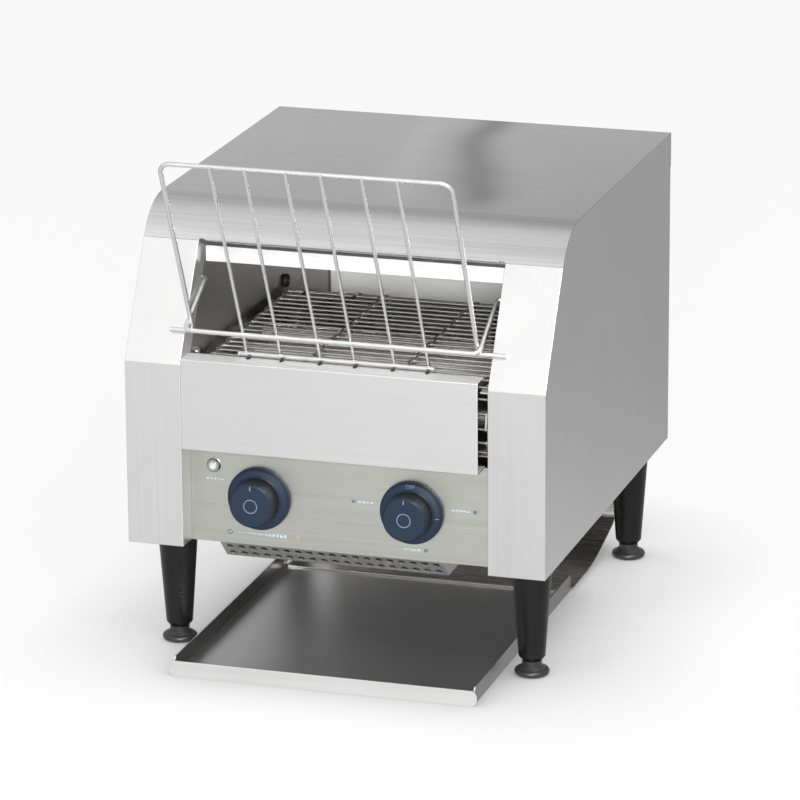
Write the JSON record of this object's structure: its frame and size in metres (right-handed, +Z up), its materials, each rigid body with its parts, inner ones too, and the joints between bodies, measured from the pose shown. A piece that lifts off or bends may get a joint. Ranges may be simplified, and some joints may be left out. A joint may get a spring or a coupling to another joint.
{
  "type": "conveyor toaster",
  "caption": "Countertop conveyor toaster with a wire belt, a folding loading rack, quartz heaters, a rear chute, a sliding tray and tall black legs.",
  "frame": {"origin": "on the table under the middle of the width and of the whole depth, from the rack to the cable gland", "axes": "+X to the right seen from the front, +Y to the back, +Z up"},
  "size_m": [0.368, 0.4868, 0.4542],
  "materials": {
    "casing_sheet": "fine upright brushing",
    "hood_sheet": "brushed across the width",
    "cover_sheet": "brushed across the width",
    "panel_sheet": "warm grey, brushed across the width",
    "base_sheet": "plain mill finish",
    "chamber_sheet": "darkened by heat",
    "bright_sheet": "bright and smooth",
    "quartz": "clear quartz with a frosted look",
    "ceramic": "glazed white ceramic",
    "belt_wire": "drawn wire, dulled by heat",
    "shaft_steel": "ground",
    "sprocket_steel": "machined",
    "bronze": "sintered bronze",
    "motor_paint": "satin black enamel",
    "chain_steel": "oiled roller chain",
    "fan_plastic": "moulded black",
    "knob_plastic": "dark navy with a soft sheen",
    "control_plastic": "moulded",
    "bright_trim": "polished",
    "lamp_lens": "frosted clear lens, unlit",
    "gland_plastic": "moulded black",
    "rack_wire": "bright plated wire",
    "tray_sheet": "brushed across the width",
    "chute_sheet": "smooth and dark",
    "leg_paint": "black with a soft sheen",
    "foot_rubber": "black rubber",
    "screw_steel": "zinc plated"
  },
  "bodies": {
    "housing": {"left_casing": "casing_sheet", "right_casing": "casing_sheet", "top_hood": "hood_sheet", "rear_cover": "casing_sheet", "front_cover": "cover_sheet", "control_panel": "panel_sheet", "vent_box": "cover_sheet", "base_pan": "base_sheet", "heat_shield": "chamber_sheet", "left_base_rail": "base_sheet", "right_base_rail": "base_sheet", "left_inner_wall": "chamber_sheet", "right_inner_wall": "chamber_sheet", "upper_fascia": "bright_sheet", "upper_reflector": "bright_sheet", "lower_reflector": "bright_sheet", "bed_plate": "bright_sheet", "upper_heaters": "quartz", "lower_heaters": "quartz", "upper_heater_caps": "ceramic", "lower_heater_caps": "ceramic", "conveyor_belt": "belt_wire", "shaft_bushes": "bronze", "gear_motor": "motor_paint", "motor_bracket": "base_sheet", "drive_chain": "chain_steel", "fan_frame": "fan_plastic", "speed_control": "control_plastic", "function_switch": "ceramic", "lamp_bezel": "bright_trim", "lamp_lens": "lamp_lens", "terminal_block": "ceramic", "cable_gland": "gland_plastic", "rear_chute": "chute_sheet", "front_left_leg": "leg_paint", "front_right_leg": "leg_paint", "rear_left_leg": "leg_paint", "rear_right_leg": "leg_paint", "leg_nuts": "screw_steel", "rear_screws": "screw_steel", "wall_bolts": "screw_steel"},
    "speed_knob": {"speed_knob": "knob_plastic"},
    "function_knob": {"function_knob": "knob_plastic"},
    "rack": {"loading_rack": "rack_wire"},
    "tray": {"collecting_tray": "tray_sheet"},
    "front_roller": {"front_shaft": "shaft_steel", "front_sprockets": "sprocket_steel", "shaft_sprocket": "sprocket_steel"},
    "rear_roller": {"rear_shaft": "shaft_steel", "rear_sprockets": "sprocket_steel"},
    "motor_drive": {"motor_sprocket": "sprocket_steel"},
    "fan_rotor": {"fan_impeller": "fan_plastic"},
    "front_left_foot": {"front_left_foot": "foot_rubber"},
    "front_right_foot": {"front_right_foot": "foot_rubber"},
    "rear_left_foot": {"rear_left_foot": "foot_rubber"},
    "rear_right_foot": {"rear_right_foot": "foot_rubber"}
  },
  "joints": [
    {"name": "speed_knob_turn", "type": "hinge", "parent": "housing", "child": "speed_knob", "pos_m": [-0.0726, -0.15937, 0.1452], "axis": [0, 1, 0], "range_deg": [0, 270]},
    {"name": "function_knob_turn", "type": "hinge", "parent": "housing", "child": "function_knob", "pos_m": [0.0625, -0.15937, 0.1452], "axis": [0, 1, 0], "range_deg": [0, 270]},
    {"name": "rack_swing", "type": "hinge", "parent": "housing", "child": "rack", "pos_m": [0, -0.11937, 0.324], "axis": [-1, 0, 0], "range_deg": [0, 95]},
    {"name": "tray_slide", "type": "slide", "parent": "housing", "child": "tray", "axis": [0, -1, 0], "range_m": [0, 0.25]},
    {"name": "motor_turn", "type": "hinge", "parent": "housing", "child": "motor_drive", "pos_m": [0.1369, -0.05229, 0.14836], "axis": [-1, 0, 0], "continuous": true, "deforming": ["conveyor_belt", "drive_chain"]},
    {"name": "front_roller_turn", "type": "hinge", "parent": "housing", "child": "front_roller", "pos_m": [0, -0.12637, 0.22245], "axis": [-1, 0, 0], "continuous": true, "deforming": ["conveyor_belt", "drive_chain"]},
    {"name": "rear_roller_turn", "type": "hinge", "parent": "housing", "child": "rear_roller", "pos_m": [0, 0.08953, 0.22245], "axis": [-1, 0, 0], "continuous": true, "deforming": ["conveyor_belt"]},
    {"name": "fan_spin", "type": "hinge", "parent": "housing", "child": "fan_rotor", "pos_m": [-0.0102, -0.08937, 0.1037], "axis": [0, 0, 1], "continuous": true},
    {"name": "front_left_foot_screw", "type": "slide", "parent": "housing", "child": "front_left_foot", "axis": [0, 0, -1], "range_m": [0, 0.012]},
    {"name": "front_right_foot_screw", "type": "slide", "parent": "housing", "child": "front_right_foot", "axis": [0, 0, -1], "range_m": [0, 0.012]},
    {"name": "rear_left_foot_screw", "type": "slide", "parent": "housing", "child": "rear_left_foot", "axis": [0, 0, -1], "range_m": [0, 0.012]},
    {"name": "rear_right_foot_screw", "type": "slide", "parent": "housing", "child": "rear_right_foot", "axis": [0, 0, -1], "range_m": [0, 0.012]}
  ],
  "couplings": [
    {"joint": "front_roller_turn", "follows": "motor_turn", "ratio": 1},
    {"joint": "rear_roller_turn", "follows": "motor_turn", "ratio": 1}
  ]
}
